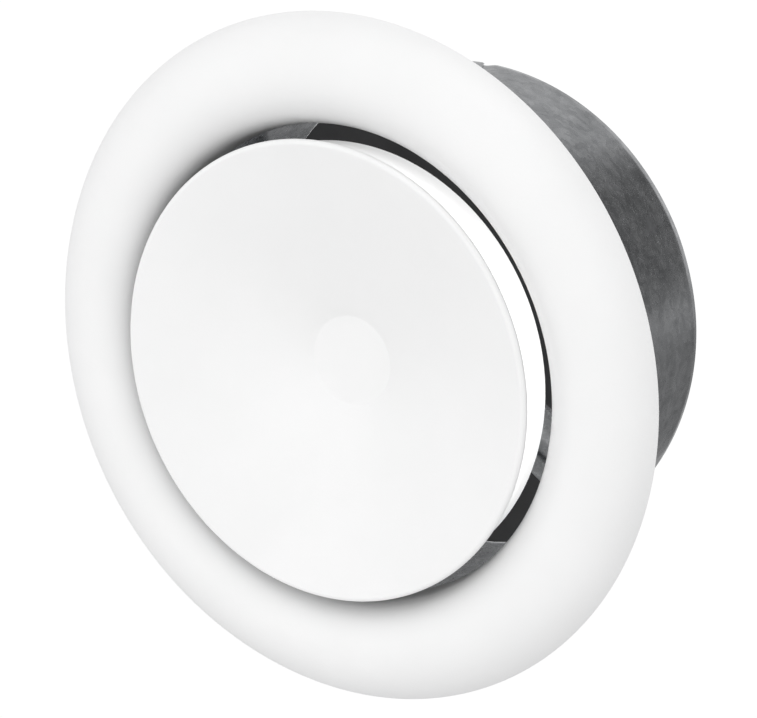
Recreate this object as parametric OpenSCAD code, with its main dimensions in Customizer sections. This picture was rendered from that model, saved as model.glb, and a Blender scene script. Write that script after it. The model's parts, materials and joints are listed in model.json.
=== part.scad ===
// Ceiling disc valve for the end of a 160 mm air duct.
//
// The origin is on the valve's axis, in the plane of the ceiling. +Z points up into the duct, and the
// room is below. The collar and its flange stay in the duct. The valve body twists into the collar on a
// bayonet, and the disc winds in and out on its spindle through the bridge, to throttle the air.

/* [Collar and ceiling flange] */
// Outside diameter of the collar that enters the duct
collar_d = 159; // [158.6:0.1:159.4]
// Height of the collar above the ceiling
collar_h = 76; // [70:1:90]
// Thickness of the collar's sheet
collar_sheet = 0.75; // [0.6:0.05:0.8]
// Outside diameter of the flange that lies against the ceiling
flange_d = 176; // [174:1:178]
// Diameter of the circle that the flange's screw holes lie on
screw_circle_d = 168; // [167:0.5:169]
// Diameter of each screw hole in the flange
screw_hole_d = 4.2; // [3.6:0.1:4.6]
// Width of the overlap where the collar's sheet is joined
seam_overlap = 12; // [8:1:16]
// Slant of the seam against the valve's axis
seam_slant = 25; // [0:1:30]

/* [Bayonet] */
// Angle that the valve body turns between locked and free
twist = 20; // [14:1:24]
// Diameter of the pins on the spigot
bayonet_pin_d = 4.4; // [4:0.1:4.8]
// Height of the pins above the ceiling
bayonet_z = 14.5; // [14.5:0.5:18]

/* [Valve body] */
// Outside diameter of the outer ring
ring_d = 200; // [196:1:204]
// Diameter of the ring's lowest line, its crest
crest_d = 166; // [164:1:168]
// How far the crest hangs below the ceiling
crest_drop = 9; // [7:0.5:11]
// Inside diameter of the throat
throat_d = 138.8; // [138:0.2:141]
// Thickness of the ring's sheet
ring_sheet = 0.9; // [0.8:0.05:1]
// Outside diameter of the spigot
spigot_d = 154.6; // [153.6:0.2:155]
// Thickness of the spigot's sheet
spigot_sheet = 0.8; // [0.7:0.05:0.9]
// Width of the bridge across the spigot
bridge_w = 20; // [18:1:24]

/* [Disc] */
// Outside diameter of the disc's rim
disc_d = 134.4; // [130:0.4:136]
// How far the rim hangs below the ceiling at the middle setting
rim_drop = 9.2; // [6:0.2:12]
// Depth of the dish in the disc's face
dish_depth = 19.8; // [16:0.2:20]
// Diameter of the flat floor of the dish
dish_floor_d = 25.6; // [22:0.2:28]
// Diameter of the back shell at its upper corner
shell_d = 126.8; // [124:0.2:128]
// Height of the back shell's corner above the rim
shell_h = 17.8; // [16:0.2:19]
// Thickness of the disc's sheet
disc_sheet = 0.9; // [0.8:0.05:1]

/* [Spindle] */
// Thread diameter of the spindle
spindle_d = 8; // [7.8:0.05:8]
// Thread pitch, the disc's travel in one turn
pitch = 1.25; // [1:0.05:1.25]
// Turns from the middle setting to fully in
turns_in = 10; // [6:1:10]
// Turns from the middle setting to fully out
turns_out = 10; // [6:1:10]
// Turns that the lock nut is backed off to free the spindle
lock_turns = 2; // [1:1:2]

/* [Hidden] */
$fn = 96;

// Gaps: between parts of one body, between stacked loose parts, and of a shaft in its hole
fit_gap = 0.05;
loose_gap = 0.3;

// How far a cut runs past what it cuts
over = 1;

// Collar and ceiling flange
collar_r = collar_d / 2;
taper_step = 0.5;
taper_h = 3.5;
screw_count = 3;
screw_angle = 90;
seam_angle = 72;
seam_line_low = 0.2;
seam_line_high = 0.35;
seam_line_w = 0.4;
seam_margin = 1;
seam_h = collar_h - taper_h - 2 * seam_margin;
slot_clearance = 0.3;
slot_r = bayonet_pin_d / 2 + slot_clearance;

// Bayonet
bayonet_count = 3;
bayonet_angle = 30;
bayonet_tip_gap = 0.2;
bayonet_head_d = 7;
bayonet_head_h = 1.2;

// Outer ring: an arc from the edge to the crest, a quarter ellipse into the throat, and a step out to
// an upstand that stands inside the spigot
ring_r = ring_d / 2;
crest_r = crest_d / 2;
throat_r = throat_d / 2;
throat_z = 3.5;
ring_back_z = 7.5;
upstand_h = 3;
throat_step_angle = 9;
edge_run = ring_r - crest_r;
edge_arc_r = (edge_run * edge_run + crest_drop * crest_drop) / (2 * crest_drop);
edge_arc_z = edge_arc_r - crest_drop;
gasket_in_r = 90;
gasket_out_r = ring_r - 3;

// Spigot
spigot_r = spigot_d / 2;
spigot_in_r = spigot_r - spigot_sheet;
spigot_foot_z = ring_back_z + fit_gap;
spigot_top_z = 48.5;

// Fasteners of the spindle, M8
spindle_r = spindle_d / 2;
spindle_hole_r = spindle_r + fit_gap;
nut_flats = 13;
nut_h = 6.5;
thin_nut_h = 4;
washer_d = 16;
washer_hole_d = spindle_d + 0.4;
washer_h = 1.6;
spring_washer_d = 14.8;
spring_washer_h = 2;

// Disc
rim_r = disc_d / 2;
rim_z = -rim_drop;
rim_bead_r = 1.2;
hem_h = 3.4;
floor_r = dish_floor_d / 2;
floor_z = rim_z + dish_depth;
floor_blend_r = 9;
bead_centre = [rim_r - rim_bead_r, rim_z + rim_bead_r];
bead_offset = bead_centre - [floor_r, floor_z];
cone_angle = atan2(-bead_offset.y, bead_offset.x) + asin(rim_bead_r / norm(bead_offset));
floor_blend_centre = [floor_r - floor_blend_r * tan(cone_angle / 2), floor_z - floor_blend_r];

// Back shell
shell_r = shell_d / 2;
shell_z = rim_z + shell_h;
shell_corner_r = 1.5;
shell_slope = 8;
shell_foot_rise = 1.6;
shell_foot = [rim_r - disc_sheet - fit_gap, rim_z + shell_foot_rise];
shell_step_r = 52;
hub_r = 22;
hub_rise = 10.9;
hub_z = shell_z + hub_rise;

// Hub plate, its rivets, and the foam
hub_plate_r = 19;
hub_plate_h = 1.5;
hub_plate_z = hub_z - disc_sheet - fit_gap - hub_plate_h;
hub_grip = hub_z - hub_plate_z;
hub_rivet_count = 4;
hub_rivet_angle = 45;
hub_rivet_circle_r = 14;
rivet_r = 1.6;
rivet_head_h = 0.8;
pad_in_r = 25;
pad_out_r = 59;
pad_h = 8;

// Stack of parts along the spindle, from the disc up
hub_washer_z = hub_z;
hub_nut_z = hub_washer_z + washer_h;
stop_washer_z = hub_nut_z + thin_nut_h + fit_gap;
stop_washer_top_in = stop_washer_z + washer_h + turns_in * pitch;
lock_nut_low_z = stop_washer_top_in + 2 * loose_gap;
lock_nut_z = lock_nut_low_z + lock_turns * pitch;
spring_washer_z = lock_nut_z + thin_nut_h;
lock_washer_z = spring_washer_z + spring_washer_h;
bridge_z = lock_washer_z + washer_h + fit_gap;
bridge_sheet = 2;
bridge_grip = spigot_sheet + fit_gap + bridge_sheet;
bridge_nut_z = bridge_z + bridge_sheet;
bridge_leg_h = 13;
bridge_hole_r = spindle_r + loose_gap;
bridge_rivet_drop = 7.5;
bridge_rivet_z = bridge_z - bridge_rivet_drop;
bridge_rivet_spread = 5.4;
split_pin_r = 0.95;
split_pin_z = bridge_nut_z + nut_h + turns_out * pitch + loose_gap + split_pin_r;
split_pin_reach = 9;
split_pin_leg = 2.5;
split_pin_eye_r = 2;
spindle_foot_gap = 0.8;
spindle_foot_z = floor_z + disc_sheet + spindle_foot_gap;
spindle_end = 3;
spindle_top_z = split_pin_z + spindle_end;
spindle_chamfer = 0.8;

// Points along part of an ellipse, from angle a to angle b
function arc(centre, rx, ry, a, b, steps) = [
    for (i = [0:steps])
        let (t = a + (b - a) * i / steps)
        centre + [rx * cos(t), ry * sin(t)]
];

// Unit vector to the left of the way from p to q
function left_of(p, q) = [p.y - q.y, q.x - p.x] / norm(q - p);

// The path moved sideways by t, to its left where t is above 0
function beside(path, t) = [
    for (i = [0:len(path) - 1])
        let (
            before = left_of(path[max(i - 1, 0)], path[max(i, 1)]),
            after = left_of(path[min(i, len(path) - 2)], path[min(i + 1, len(path) - 1)])
        )
        path[i] + t * (before + after) / (1 + before * after)
];

function reversed(path) = [for (i = [len(path) - 1:-1:0]) path[i]];

// A pressed sheet, turned about the Z axis: the path is one face, and t the thickness to its left
module turned_sheet(path, t) {
    rotate_extrude() polygon(concat(path, reversed(beside(path, t))));
}

module tube(outer_r, inner_r, z, h) {
    translate([0, 0, z])
        difference() {
            cylinder(r = outer_r, h = h);
            translate([0, 0, -over]) cylinder(r = inner_r, h = h + 2 * over);
        }
}

// Places its child at the collar's or spigot's wall, with its Z axis pointing away from the valve's axis
module on_wall(angle, r, z) {
    rotate([0, 0, angle]) translate([r, 0, z]) rotate([0, 90, 0]) children();
}

// A plain hexagon nut with chamfered corners
module hex_nut(z, h) {
    corner_r = nut_flats / 2 / cos(30);
    chamfer = corner_r - nut_flats / 2;
    translate([0, 0, z])
        difference() {
            intersection() {
                cylinder(r = corner_r, h = h, $fn = 6);
                rotate_extrude()
                    polygon([
                        [0, 0], [nut_flats / 2, 0], [corner_r, chamfer / 2],
                        [corner_r, h - chamfer / 2], [nut_flats / 2, h], [0, h]
                    ]);
            }
            translate([0, 0, -over]) cylinder(r = spindle_hole_r, h = h + 2 * over);
        }
}

// A rivet through a grip of sheets, whose outer face is at z = 0, with a head on each side
module rivet(grip) {
    translate([0, 0, -grip - rivet_head_h / 2]) cylinder(r = rivet_r, h = grip + rivet_head_h);
    cylinder(r = 2 * rivet_r, h = rivet_head_h);
    translate([0, 0, -grip - rivet_head_h]) cylinder(r = 2 * rivet_r, h = rivet_head_h);
}

// What a rivet's hole is cut with
module rivet_hole(grip) {
    translate([0, 0, -grip - over]) cylinder(r = rivet_r, h = grip + 2 * over);
}

// Part of a ring about the Z axis, from angle a to angle b and from height low to height high
module ring_sector(inner_r, outer_r, a, b, low, high) {
    rotate([0, 0, a])
        rotate_extrude(angle = b - a)
            translate([inner_r, low]) square([outer_r - inner_r, high - low]);
}

// Keeps of a tube only what lies beside the collar's seam, from one distance to the other
module beside_seam(from, to) {
    intersection() {
        children();
        rotate([0, 0, seam_angle])
            translate([collar_r, 0, collar_h / 2])
                rotate([seam_slant, 0, 0])
                    translate([-collar_r / 2, from, -collar_h])
                        cube([collar_r, to - from, 2 * collar_h]);
    }
}

// The overlap of the collar's two sheet ends, on the inside of the wall
module seam_lap() {
    beside_seam(-seam_overlap, 0)
        tube(collar_r - collar_sheet / 2, collar_r - 2 * collar_sheet, seam_margin, seam_h);
}

// The step at the edge of the outer end, which grows towards the top
module seam_line() {
    beside_seam(0, seam_line_w)
        translate([0, 0, seam_margin])
            difference() {
                cylinder(r = collar_r + over, h = seam_h);
                cylinder(r1 = collar_r - seam_line_low, r2 = collar_r - seam_line_high, h = seam_h);
            }
}

// The L-shaped slot for one bayonet pin: in from the room side, then round to where the pin locks. The
// round leg runs a little past the straight one.
module bayonet_slot(angle) {
    half_width = asin(slot_r / collar_r);
    inner_r = collar_r - 2 * collar_sheet - over;
    outer_r = collar_r + over;
    free = angle - twist;
    ring_sector(
        inner_r, outer_r, free - 1.2 * half_width, angle + half_width,
        bayonet_z - slot_r, bayonet_z + slot_r
    );
    ring_sector(
        inner_r, outer_r, free - half_width, free + half_width, -collar_sheet - over, bayonet_z
    );
}

module each_bayonet_slot() {
    for (i = [0:bayonet_count - 1]) bayonet_slot(bayonet_angle + i * 360 / bayonet_count);
}

// Rolled from a strip, with the seam's two ends lapped and the top edge tapered to enter the duct
module collar() {
    wall = [[collar_r, 0], [collar_r, collar_h - taper_h], [collar_r - taper_step, collar_h]];
    color("slategray")
        difference() {
            union() {
                turned_sheet(wall, collar_sheet);
                seam_lap();
            }
            seam_line();
            each_bayonet_slot();
        }
}

module ceiling_flange() {
    color("slategray")
        difference() {
            tube(flange_d / 2, collar_r - collar_sheet, -collar_sheet, collar_sheet);
            for (i = [0:screw_count - 1])
                rotate([0, 0, screw_angle + i * 360 / screw_count])
                    translate([screw_circle_d / 2, 0, -collar_sheet - over])
                        cylinder(d = screw_hole_d, h = collar_sheet + 2 * over);
            each_bayonet_slot();
        }
}

module outer_ring() {
    edge_angle = atan2(-edge_arc_z, edge_run);
    upstand_r = spigot_in_r - fit_gap - ring_sheet;
    face = concat(
        arc([crest_r, edge_arc_z], edge_arc_r, edge_arc_r, edge_angle, -90, 10),
        arc(
            [crest_r, throat_z], crest_r - throat_r, throat_z + crest_drop,
            -90 - throat_step_angle, -180, 90 / throat_step_angle - 1
        ),
        [[throat_r, ring_back_z], [upstand_r, ring_back_z], [upstand_r, ring_back_z + upstand_h]]
    );
    color("white") turned_sheet(face, -ring_sheet);
}

module spigot() {
    color("darkgray")
        difference() {
            tube(spigot_r, spigot_in_r, spigot_foot_z, spigot_top_z - spigot_foot_z);
            for (i = [0:bayonet_count - 1])
                on_wall(bayonet_angle + i * 360 / bayonet_count, spigot_in_r - over, bayonet_z)
                    cylinder(d = bayonet_pin_d, h = spigot_sheet + 2 * over);
            each_bridge_rivet() rivet_hole(bridge_grip);
        }
}

// Foam strip glued behind the ring's edge, pressed flat by the ceiling
module ring_gasket() {
    inner_arc_r = edge_arc_r - ring_sheet - fit_gap;
    from_angle = -acos((gasket_in_r - crest_r) / inner_arc_r);
    to_angle = -acos((gasket_out_r - crest_r) / inner_arc_r);
    color("dimgray")
        rotate_extrude()
            polygon(concat(
                [[gasket_out_r, 0], [gasket_in_r, 0]],
                arc([crest_r, edge_arc_z], inner_arc_r, inner_arc_r, from_angle, to_angle, 5)
            ));
}

module bayonet_pins() {
    tip_r = collar_r - bayonet_tip_gap;
    color("silver")
        for (i = [0:bayonet_count - 1])
            on_wall(bayonet_angle + i * 360 / bayonet_count, spigot_in_r, bayonet_z) {
                cylinder(d = bayonet_pin_d, h = tip_r - spigot_in_r);
                translate([0, 0, -bayonet_head_h]) cylinder(d = bayonet_head_d, h = bayonet_head_h);
            }
}

// Places its child on the spigot's outside at each of the rivets that hold the bridge's legs
module each_bridge_rivet() {
    spread_angle = asin(bridge_rivet_spread / spigot_r);
    for (side = [0, 180], step = [-1, 1])
        on_wall(side + step * spread_angle, spigot_r, bridge_rivet_z) children();
}

module bridge() {
    outer_r = spigot_in_r - fit_gap;
    inner_r = outer_r - bridge_sheet;
    leg_foot_z = bridge_nut_z - bridge_leg_h;
    color("gainsboro")
        difference() {
            intersection() {
                translate([-spigot_r, -bridge_w / 2, leg_foot_z])
                    cube([2 * spigot_r, bridge_w, bridge_leg_h]);
                difference() {
                    translate([0, 0, leg_foot_z]) cylinder(r = outer_r, h = bridge_leg_h);
                    translate([0, 0, leg_foot_z - over])
                        cylinder(r = inner_r, h = bridge_leg_h + over - bridge_sheet);
                }
            }
            translate([0, 0, bridge_z - over])
                cylinder(r = bridge_hole_r, h = bridge_sheet + 2 * over);
            each_bridge_rivet() rivet_hole(bridge_grip);
        }
}

module bridge_rivets() {
    color("silver") each_bridge_rivet() rivet(bridge_grip);
}

module bridge_nut() {
    color("silver") hex_nut(bridge_nut_z, nut_h);
}

module lock_washer() {
    color("silver") tube(washer_d / 2, washer_hole_d / 2, lock_washer_z, washer_h);
}

module lock_spring_washer() {
    gap_w = 1.5;
    color("dimgray")
        difference() {
            tube(spring_washer_d / 2, washer_hole_d / 2, spring_washer_z, spring_washer_h);
            translate([0, -gap_w / 2, spring_washer_z - over])
                cube([spring_washer_d, gap_w, spring_washer_h + 2 * over]);
        }
}

module lock_nut() {
    color("silver") hex_nut(lock_nut_z, thin_nut_h);
}

module stop_washer() {
    color("silver") tube(washer_d / 2, washer_hole_d / 2, stop_washer_z, washer_h);
}

// The room side of the dish, from the middle of its floor out to the rim and round into the hem
function dish_face() = concat(
    [[0, floor_z]],
    arc(floor_blend_centre, floor_blend_r, floor_blend_r, 90, 90 - cone_angle, 4),
    arc(bead_centre, rim_bead_r, rim_bead_r, 270 - cone_angle, 360, 6),
    [[rim_r, rim_z + hem_h]]
);

module disc_face() {
    color("white") turned_sheet(dish_face(), disc_sheet);
}

// The outside of the shell, from its foot in the hem up the band and in over the back to the hub
function shell_outside() = concat(
    [shell_foot],
    arc(
        [shell_r - shell_corner_r, shell_z - shell_corner_r],
        shell_corner_r, shell_corner_r, shell_slope, 90, 4
    ),
    [[shell_step_r, shell_z], [hub_r, hub_z], [spindle_hole_r, hub_z]]
);

module disc_back_shell() {
    color("white")
        difference() {
            turned_sheet(shell_outside(), disc_sheet);
            each_hub_rivet() rivet_hole(hub_grip);
        }
}

// Height at radius r of the cone that the dish's upper side follows, plus room for the foam on it
function pad_foot_z(r) =
    floor_blend_centre.y + (floor_blend_r + disc_sheet + fit_gap) / cos(cone_angle)
    - (r - floor_blend_centre.x) * tan(cone_angle);

// Sound-damping foam that lies on the dish inside the disc
module damping_pad() {
    color("darkslategray")
        rotate_extrude()
            polygon([
                [pad_in_r, pad_foot_z(pad_in_r)], [pad_out_r, pad_foot_z(pad_out_r)],
                [pad_out_r, pad_foot_z(pad_out_r) + pad_h], [pad_in_r, pad_foot_z(pad_in_r) + pad_h]
            ]);
}

// Places its child at each of the rivets that hold the hub plate under the back shell
module each_hub_rivet() {
    for (i = [0:hub_rivet_count - 1])
        rotate([0, 0, hub_rivet_angle + i * 360 / hub_rivet_count])
            translate([hub_rivet_circle_r, 0, hub_z]) children();
}

module hub_plate() {
    color("gainsboro")
        difference() {
            tube(hub_plate_r, spindle_hole_r, hub_plate_z, hub_plate_h);
            each_hub_rivet() rivet_hole(hub_grip);
        }
}

module hub_rivets() {
    color("silver") each_hub_rivet() rivet(hub_grip);
}

module inner_nut() {
    color("silver") hex_nut(hub_plate_z - thin_nut_h, thin_nut_h);
}

module hub_washer() {
    color("silver") tube(washer_d / 2, washer_hole_d / 2, hub_washer_z, washer_h);
}

module hub_nut() {
    color("silver") hex_nut(hub_nut_z, thin_nut_h);
}

module spindle() {
    color("silver")
        difference() {
            rotate_extrude()
                polygon([
                    [0, spindle_foot_z], [spindle_r - spindle_chamfer, spindle_foot_z],
                    [spindle_r, spindle_foot_z + spindle_chamfer],
                    [spindle_r, spindle_top_z - spindle_chamfer],
                    [spindle_r - spindle_chamfer, spindle_top_z], [0, spindle_top_z]
                ]);
            translate([0, 0, split_pin_z])
                rotate([0, 90, 0]) cylinder(r = split_pin_r + fit_gap, h = 2 * spindle_d, center = true);
        }
}

// The pin through the spindle's upper end, with its eye on one side and its legs bent on the other
module split_pin() {
    color("lightgray")
        translate([0, 0, split_pin_z]) {
            translate([-split_pin_reach, 0, 0])
                rotate([0, 90, 0]) cylinder(r = split_pin_r, h = 2 * split_pin_reach);
            translate([-split_pin_reach - split_pin_eye_r, 0, 0])
                rotate_extrude() translate([split_pin_eye_r, 0]) circle(r = split_pin_r);
            for (side = [-1, 1])
                translate([split_pin_reach - split_pin_r, 0, 0])
                    rotate([-90 * side, 0, 0]) cylinder(r = split_pin_r, h = split_pin_leg);
        }
}

collar();
ceiling_flange();
outer_ring();
spigot();
ring_gasket();
bayonet_pins();
bridge();
bridge_rivets();
bridge_nut();
lock_washer();
lock_spring_washer();
lock_nut();
stop_washer();
disc_face();
disc_back_shell();
damping_pad();
hub_plate();
hub_rivets();
inner_nut();
hub_washer();
hub_nut();
spindle();
split_pin();
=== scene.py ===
"""Looks of the ceiling disc valve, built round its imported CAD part. Shapes are worked out in mm."""

import json
import math

import bmesh
import bpy
from mathutils import Matrix, Vector, noise


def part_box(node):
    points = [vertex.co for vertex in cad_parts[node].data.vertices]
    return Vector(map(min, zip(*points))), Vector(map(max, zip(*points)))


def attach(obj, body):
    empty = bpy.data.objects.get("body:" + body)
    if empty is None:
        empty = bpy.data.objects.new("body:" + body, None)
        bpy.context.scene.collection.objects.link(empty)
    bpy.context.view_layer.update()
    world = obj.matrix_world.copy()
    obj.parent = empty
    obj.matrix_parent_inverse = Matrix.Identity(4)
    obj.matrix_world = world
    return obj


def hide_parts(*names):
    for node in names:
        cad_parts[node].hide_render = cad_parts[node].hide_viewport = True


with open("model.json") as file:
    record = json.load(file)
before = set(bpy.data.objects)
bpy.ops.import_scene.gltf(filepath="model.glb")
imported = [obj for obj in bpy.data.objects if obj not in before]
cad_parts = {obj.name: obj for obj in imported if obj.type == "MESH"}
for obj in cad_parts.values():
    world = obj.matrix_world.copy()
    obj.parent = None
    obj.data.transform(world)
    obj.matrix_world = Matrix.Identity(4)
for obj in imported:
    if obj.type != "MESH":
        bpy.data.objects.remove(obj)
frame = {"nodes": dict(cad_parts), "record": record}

MM = 0.001
TAU = 2 * math.pi
MERGE = 2e-7  # metres: points nearer than this are one
SLIVER = 1e-7  # metres: shorter edges are dropped
ON_AXIS = 1e-6
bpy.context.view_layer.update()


# ---------------------------------------------------------------- sizes of the CAD part


def span(node):
    """Smallest and largest distance from the axis, then lowest and highest z, of a CAD node, in mm."""
    points = [v.co / MM for v in frame["nodes"][node].data.vertices]
    radii = [math.hypot(p.x, p.y) for p in points]
    heights = [p.z for p in points]
    return min(radii), max(radii), min(heights), max(heights)


def smooth(t):
    t = min(max(t, 0.0), 1.0)
    return t * t * (3 - 2 * t)


def rough(x, y, z, scale, depth):
    """Even bumps over a point, of the given size and depth in mm."""
    return depth * noise.noise(Vector((x, y, z)) / scale)


# ---------------------------------------------------------------- plane curves, lists of (r, z) points


def arc(centre, rx, ry, start, end, steps):
    return [
        (
            centre[0] + rx * math.cos(math.radians(start + (end - start) * i / steps)),
            centre[1] + ry * math.sin(math.radians(start + (end - start) * i / steps)),
        )
        for i in range(steps + 1)
    ]


def bezier(a, b, c, d, steps):
    out = []
    for i in range(steps + 1):
        t = i / steps
        s = 1 - t
        out.append(
            tuple(
                s**3 * a[k] + 3 * s * s * t * b[k] + 3 * s * t * t * c[k] + t**3 * d[k]
                for k in (0, 1)
            )
        )
    return out


def rounded(points, radii, steps=6, closed=False):
    """The polyline with each corner turned into an arc. radii is one number, or one for each point."""
    out = []
    count = len(points)
    for i, p in enumerate(points):
        r = radii[i] if isinstance(radii, (list, tuple)) else radii
        if r == 0 or (not closed and i in (0, count - 1)):
            out.append(tuple(p))
            continue
        here = Vector(p)
        back = Vector(points[i - 1]) - here
        ahead = Vector(points[(i + 1) % count]) - here
        half = back.angle(ahead) / 2
        reach = min(r / math.tan(half), 0.49 * back.length, 0.49 * ahead.length)
        r = reach * math.tan(half)
        back.normalize()
        ahead.normalize()
        middle = here + (back + ahead).normalized() * r / math.sin(half)
        first = here + back * reach - middle
        last = here + ahead * reach - middle
        turn = math.atan2(first.cross(last), first.dot(last))
        angle = math.atan2(first.y, first.x)
        for k in range(steps + 1):
            a = angle + turn * k / steps
            out.append((middle.x + r * math.cos(a), middle.y + r * math.sin(a)))
    return out


def beside(path, t):
    """The path moved sideways by t, to its left where t is above 0."""

    def left(p, q):
        d = Vector((q[0] - p[0], q[1] - p[1])).normalized()
        return Vector((-d.y, d.x))

    out = []
    last = len(path) - 1
    for i, p in enumerate(path):
        a = left(path[max(i - 1, 0)], path[max(i, 1)])
        b = left(path[min(i, last - 1)], path[min(i + 1, last)])
        out.append(tuple(Vector(p) + (a + b) * t / (1 + a.dot(b))))
    return out


def cap(p, q, bulge, steps=5):
    """Points between p and q on a sheet's rounded edge, bulging to the left of the way from q to p."""
    a, b = Vector(p), Vector(q)
    middle, half = (a + b) / 2, (a - b) / 2
    out_of = Vector((half.y, -half.x)).normalized() * bulge
    return [
        tuple(
            middle
            + half * math.cos(math.pi * i / steps)
            + out_of * math.sin(math.pi * i / steps)
        )
        for i in range(1, steps)
    ]


def sheet(path, t, bulge=0.3, first_edge=True):
    """Closed outline of a sheet whose face is the path, t thick to its left, with rounded edges."""
    other = beside(path, t)
    way = 1 if t > 0 else -1
    loop = list(path) + cap(path[-1], other[-1], bulge * way) + other[::-1]
    if first_edge:
        loop += cap(other[0], path[0], bulge * way)
    return loop


# ---------------------------------------------------------------- solids, as (points, faces)


def turned(loop_at, steps):
    """A solid of revolution whose outline may change with the angle."""
    points, faces = [], []
    for i in range(steps):
        a = TAU * i / steps
        loop = loop_at(a)
        n = len(loop)
        points += [(r * math.cos(a), r * math.sin(a), z) for r, z in loop]
    for i in range(steps):
        j = (i + 1) % steps
        for k in range(n):
            m = (k + 1) % n
            if loop[k][0] < ON_AXIS and loop[m][0] < ON_AXIS:
                continue
            faces.append((i * n + k, j * n + k, j * n + m, i * n + m))
    return points, faces


def lathe(loop, steps=256):
    return turned(lambda a: loop, steps)


def swept(rings, ends=True):
    """A solid through a row of like loops of 3-D points. Without ends, its two ends are left open."""
    n = len(rings[0])
    points = [p for ring in rings for p in ring]
    faces = []
    count = len(rings)
    for i in range(count - 1):
        for k in range(n):
            m = (k + 1) % n
            faces.append((i * n + k, (i + 1) * n + k, (i + 1) * n + m, i * n + m))
    if ends:
        for base in (0, (count - 1) * n):
            for k in range(n // 2 - 1):
                faces.append((base + k, base + k + 1, base + n - 2 - k, base + n - 1 - k))
    return points, faces


def plate(rows, steps=96):
    """A thin round plate through (r, z) rows, the first of them at the middle."""
    points, faces = [(0, 0, rows[0][1])], []
    for r, z in rows[1:]:
        for k in range(steps):
            a = TAU * k / steps
            points.append((r * math.cos(a), r * math.sin(a), z))
    faces += [(0, 1 + k, 1 + (k + 1) % steps) for k in range(steps)]
    for i in range(len(rows) - 2):
        b = 1 + i * steps
        for k in range(steps):
            m = (k + 1) % steps
            faces.append((b + k, b + steps + k, b + steps + m, b + m))
    return points, faces


def moved(part, matrix):
    return [tuple(matrix @ Vector(p)) for p in part[0]], part[1]


def joined(*parts):
    points, faces = [], []
    for p, f in parts:
        base = len(points)
        points += p
        faces += [tuple(i + base for i in face) for face in f]
    return points, faces


def make(name, part, angle=32):
    """A mesh object of the part. Edges that turn by more than the angle stay sharp."""
    bm = bmesh.new()
    corners = [bm.verts.new(Vector(p) * MM) for p in part[0]]
    for face in part[1]:
        bm.faces.new([corners[i] for i in face])
    bmesh.ops.remove_doubles(bm, verts=bm.verts, dist=MERGE)
    bmesh.ops.dissolve_degenerate(bm, dist=SLIVER, edges=bm.edges)
    bmesh.ops.recalc_face_normals(bm, faces=bm.faces)
    mesh = bpy.data.meshes.new(name)
    bm.to_mesh(mesh)
    bm.free()
    mesh.shade_smooth()
    mesh.set_sharp_from_angle(angle=math.radians(angle))
    piece = bpy.data.objects.new(name, mesh)
    bpy.context.scene.collection.objects.link(piece)
    return piece


def cut(piece, cutter_part, angle=32):
    """Takes the part out of the piece."""
    cutter = make("cutter", cutter_part)
    step = piece.modifiers.new("cut", "BOOLEAN")
    step.object = cutter
    step.solver = "EXACT"
    step.operation = "DIFFERENCE"
    graph = bpy.context.evaluated_depsgraph_get()
    mesh = bpy.data.meshes.new_from_object(piece.evaluated_get(graph))
    piece.modifiers.clear()
    piece.data = mesh
    mesh.shade_smooth()
    mesh.set_sharp_from_angle(angle=math.radians(angle))
    bpy.data.objects.remove(cutter)


def on_wall(angle, r, z):
    """Matrix that places a part at a round wall, with its Z axis pointing away from the valve's axis."""
    return (
        Matrix.Rotation(angle, 4, "Z")
        @ Matrix.Translation((r, 0, z))
        @ Matrix.Rotation(math.pi / 2, 4, "Y")
    )


# ---------------------------------------------------------------- materials


class Nodes:
    """Short ways to add shader nodes to one node tree."""

    def __init__(self, tree):
        self.tree = tree
        tree.nodes.clear()

    def add(self, kind, inputs=(), **settings):
        node = self.tree.nodes.new("ShaderNode" + kind)
        for key, value in settings.items():
            setattr(node, key, value)
        for key, value in dict(inputs).items():
            if isinstance(value, bpy.types.NodeSocket):
                self.tree.links.new(value, node.inputs[key])
            else:
                node.inputs[key].default_value = value
        return node

    def place(self, stretch=(1, 1, 1)):
        """The surface's own coordinates, in metres, stretched."""
        coord = self.add("TexCoord")
        return self.add(
            "Mapping", {"Vector": coord.outputs["Object"], "Scale": stretch}
        ).outputs[0]

    def noise(self, where, scale, detail=4.0, roughness=0.55):
        return self.add(
            "TexNoise",
            {"Vector": where, "Scale": scale, "Detail": detail, "Roughness": roughness},
        ).outputs["Fac"]

    def fit(self, value, low, high, to_low, to_high):
        return self.add(
            "MapRange",
            {
                "Value": value,
                "From Min": low,
                "From Max": high,
                "To Min": to_low,
                "To Max": to_high,
            },
        ).outputs["Result"]

    def math(self, operation, a, b=0.0):
        return self.add("Math", {0: a, 1: b}, operation=operation).outputs[0]

    def ramp(self, fac, stops):
        """Colours along a value. stops are (position, (r, g, b)) pairs."""
        node = self.add("ValToRGB", {"Fac": fac})
        while len(node.color_ramp.elements) < len(stops):
            node.color_ramp.elements.new(0.5)
        for element, (position, colour) in zip(node.color_ramp.elements, stops):
            element.position = position
            element.color = (*colour, 1)
        return node.outputs["Color"]

    def mix(self, fac, a, b, blend="MIX"):
        node = self.add("Mix", data_type="RGBA", blend_type=blend)
        for key, value in ((0, fac), (6, a), (7, b)):
            if isinstance(value, bpy.types.NodeSocket):
                self.tree.links.new(value, node.inputs[key])
            else:
                node.inputs[key].default_value = value
        return node.outputs[2]

    def bump(self, height, distance, strength=1.0, after=None):
        inputs = {"Height": height, "Distance": distance, "Strength": strength}
        if after is not None:
            inputs["Normal"] = after
        return self.add("Bump", inputs).outputs[0]

    def surface(self, **inputs):
        shader = self.add(
            "BsdfPrincipled", {k.replace("_", " "): v for k, v in inputs.items()}
        )
        out = self.add("OutputMaterial")
        self.tree.links.new(shader.outputs[0], out.inputs["Surface"])
        return shader


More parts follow.
